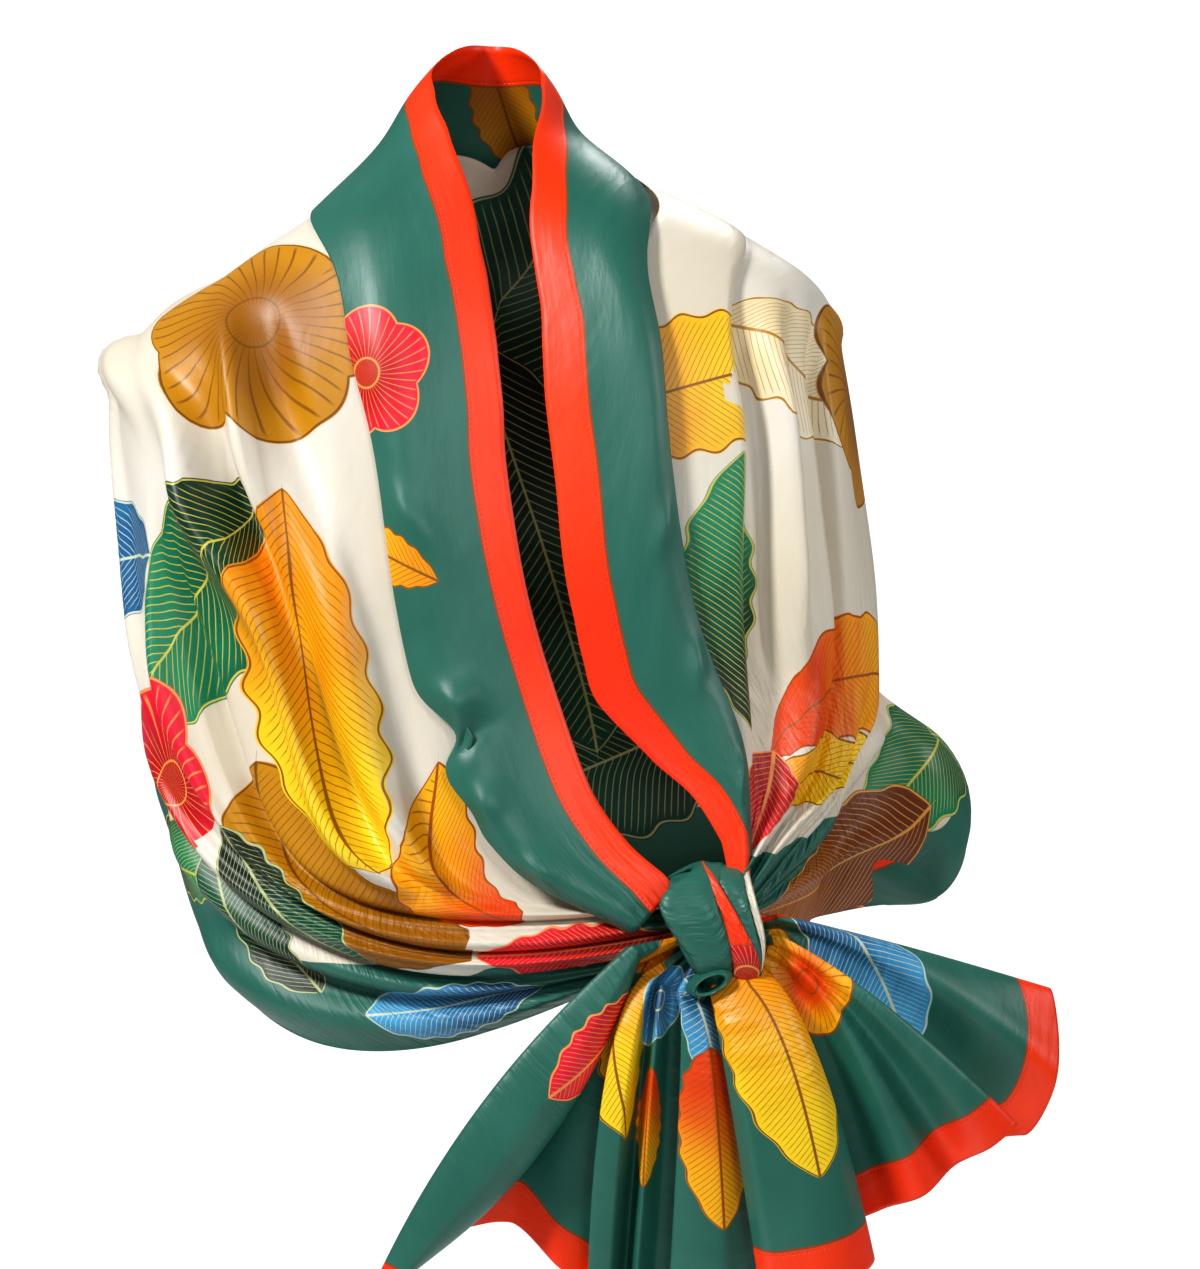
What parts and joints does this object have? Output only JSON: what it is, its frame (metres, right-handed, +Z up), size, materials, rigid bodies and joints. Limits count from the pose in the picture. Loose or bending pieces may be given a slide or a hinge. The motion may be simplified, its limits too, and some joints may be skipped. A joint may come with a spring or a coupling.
{
  "type": "long scarf worn as a tied wrap",
  "caption": "Wide satin long scarf worn round the shoulders as a wrap, with a stand-up collar, turned-back lapels and a front knot with fanned tails.",
  "frame": {"origin": "middle of the neck that the collar stands round, level with the nape, where the wearer's neck and shoulders hold the cloth up", "axes": "+Z up; the front and its knot face -Y; +X is to the right of someone who looks at the front"},
  "size_m": [0.5678, 0.3262, 0.7707],
  "materials": {
    "border_satin": "satin cloth, dark green border with an orange-red hem",
    "field_satin": "satin cloth, cream field with a large printed leaf design",
    "gold_satin": "satin cloth, gold and brown part of the printed design"
  },
  "bodies": {
    "root": {"collar_back": "border_satin", "lapel_left": "border_satin", "lapel_right": "border_satin", "pleat_right": "border_satin", "back_panel": "field_satin", "drape_left": "field_satin", "drape_right": "field_satin", "sling_left": "border_satin", "sling_right": "gold_satin", "knot_wrap": "border_satin", "knot_core": "border_satin", "tail_left": "border_satin", "tail_right": "border_satin"}
  },
  "joints": []
}
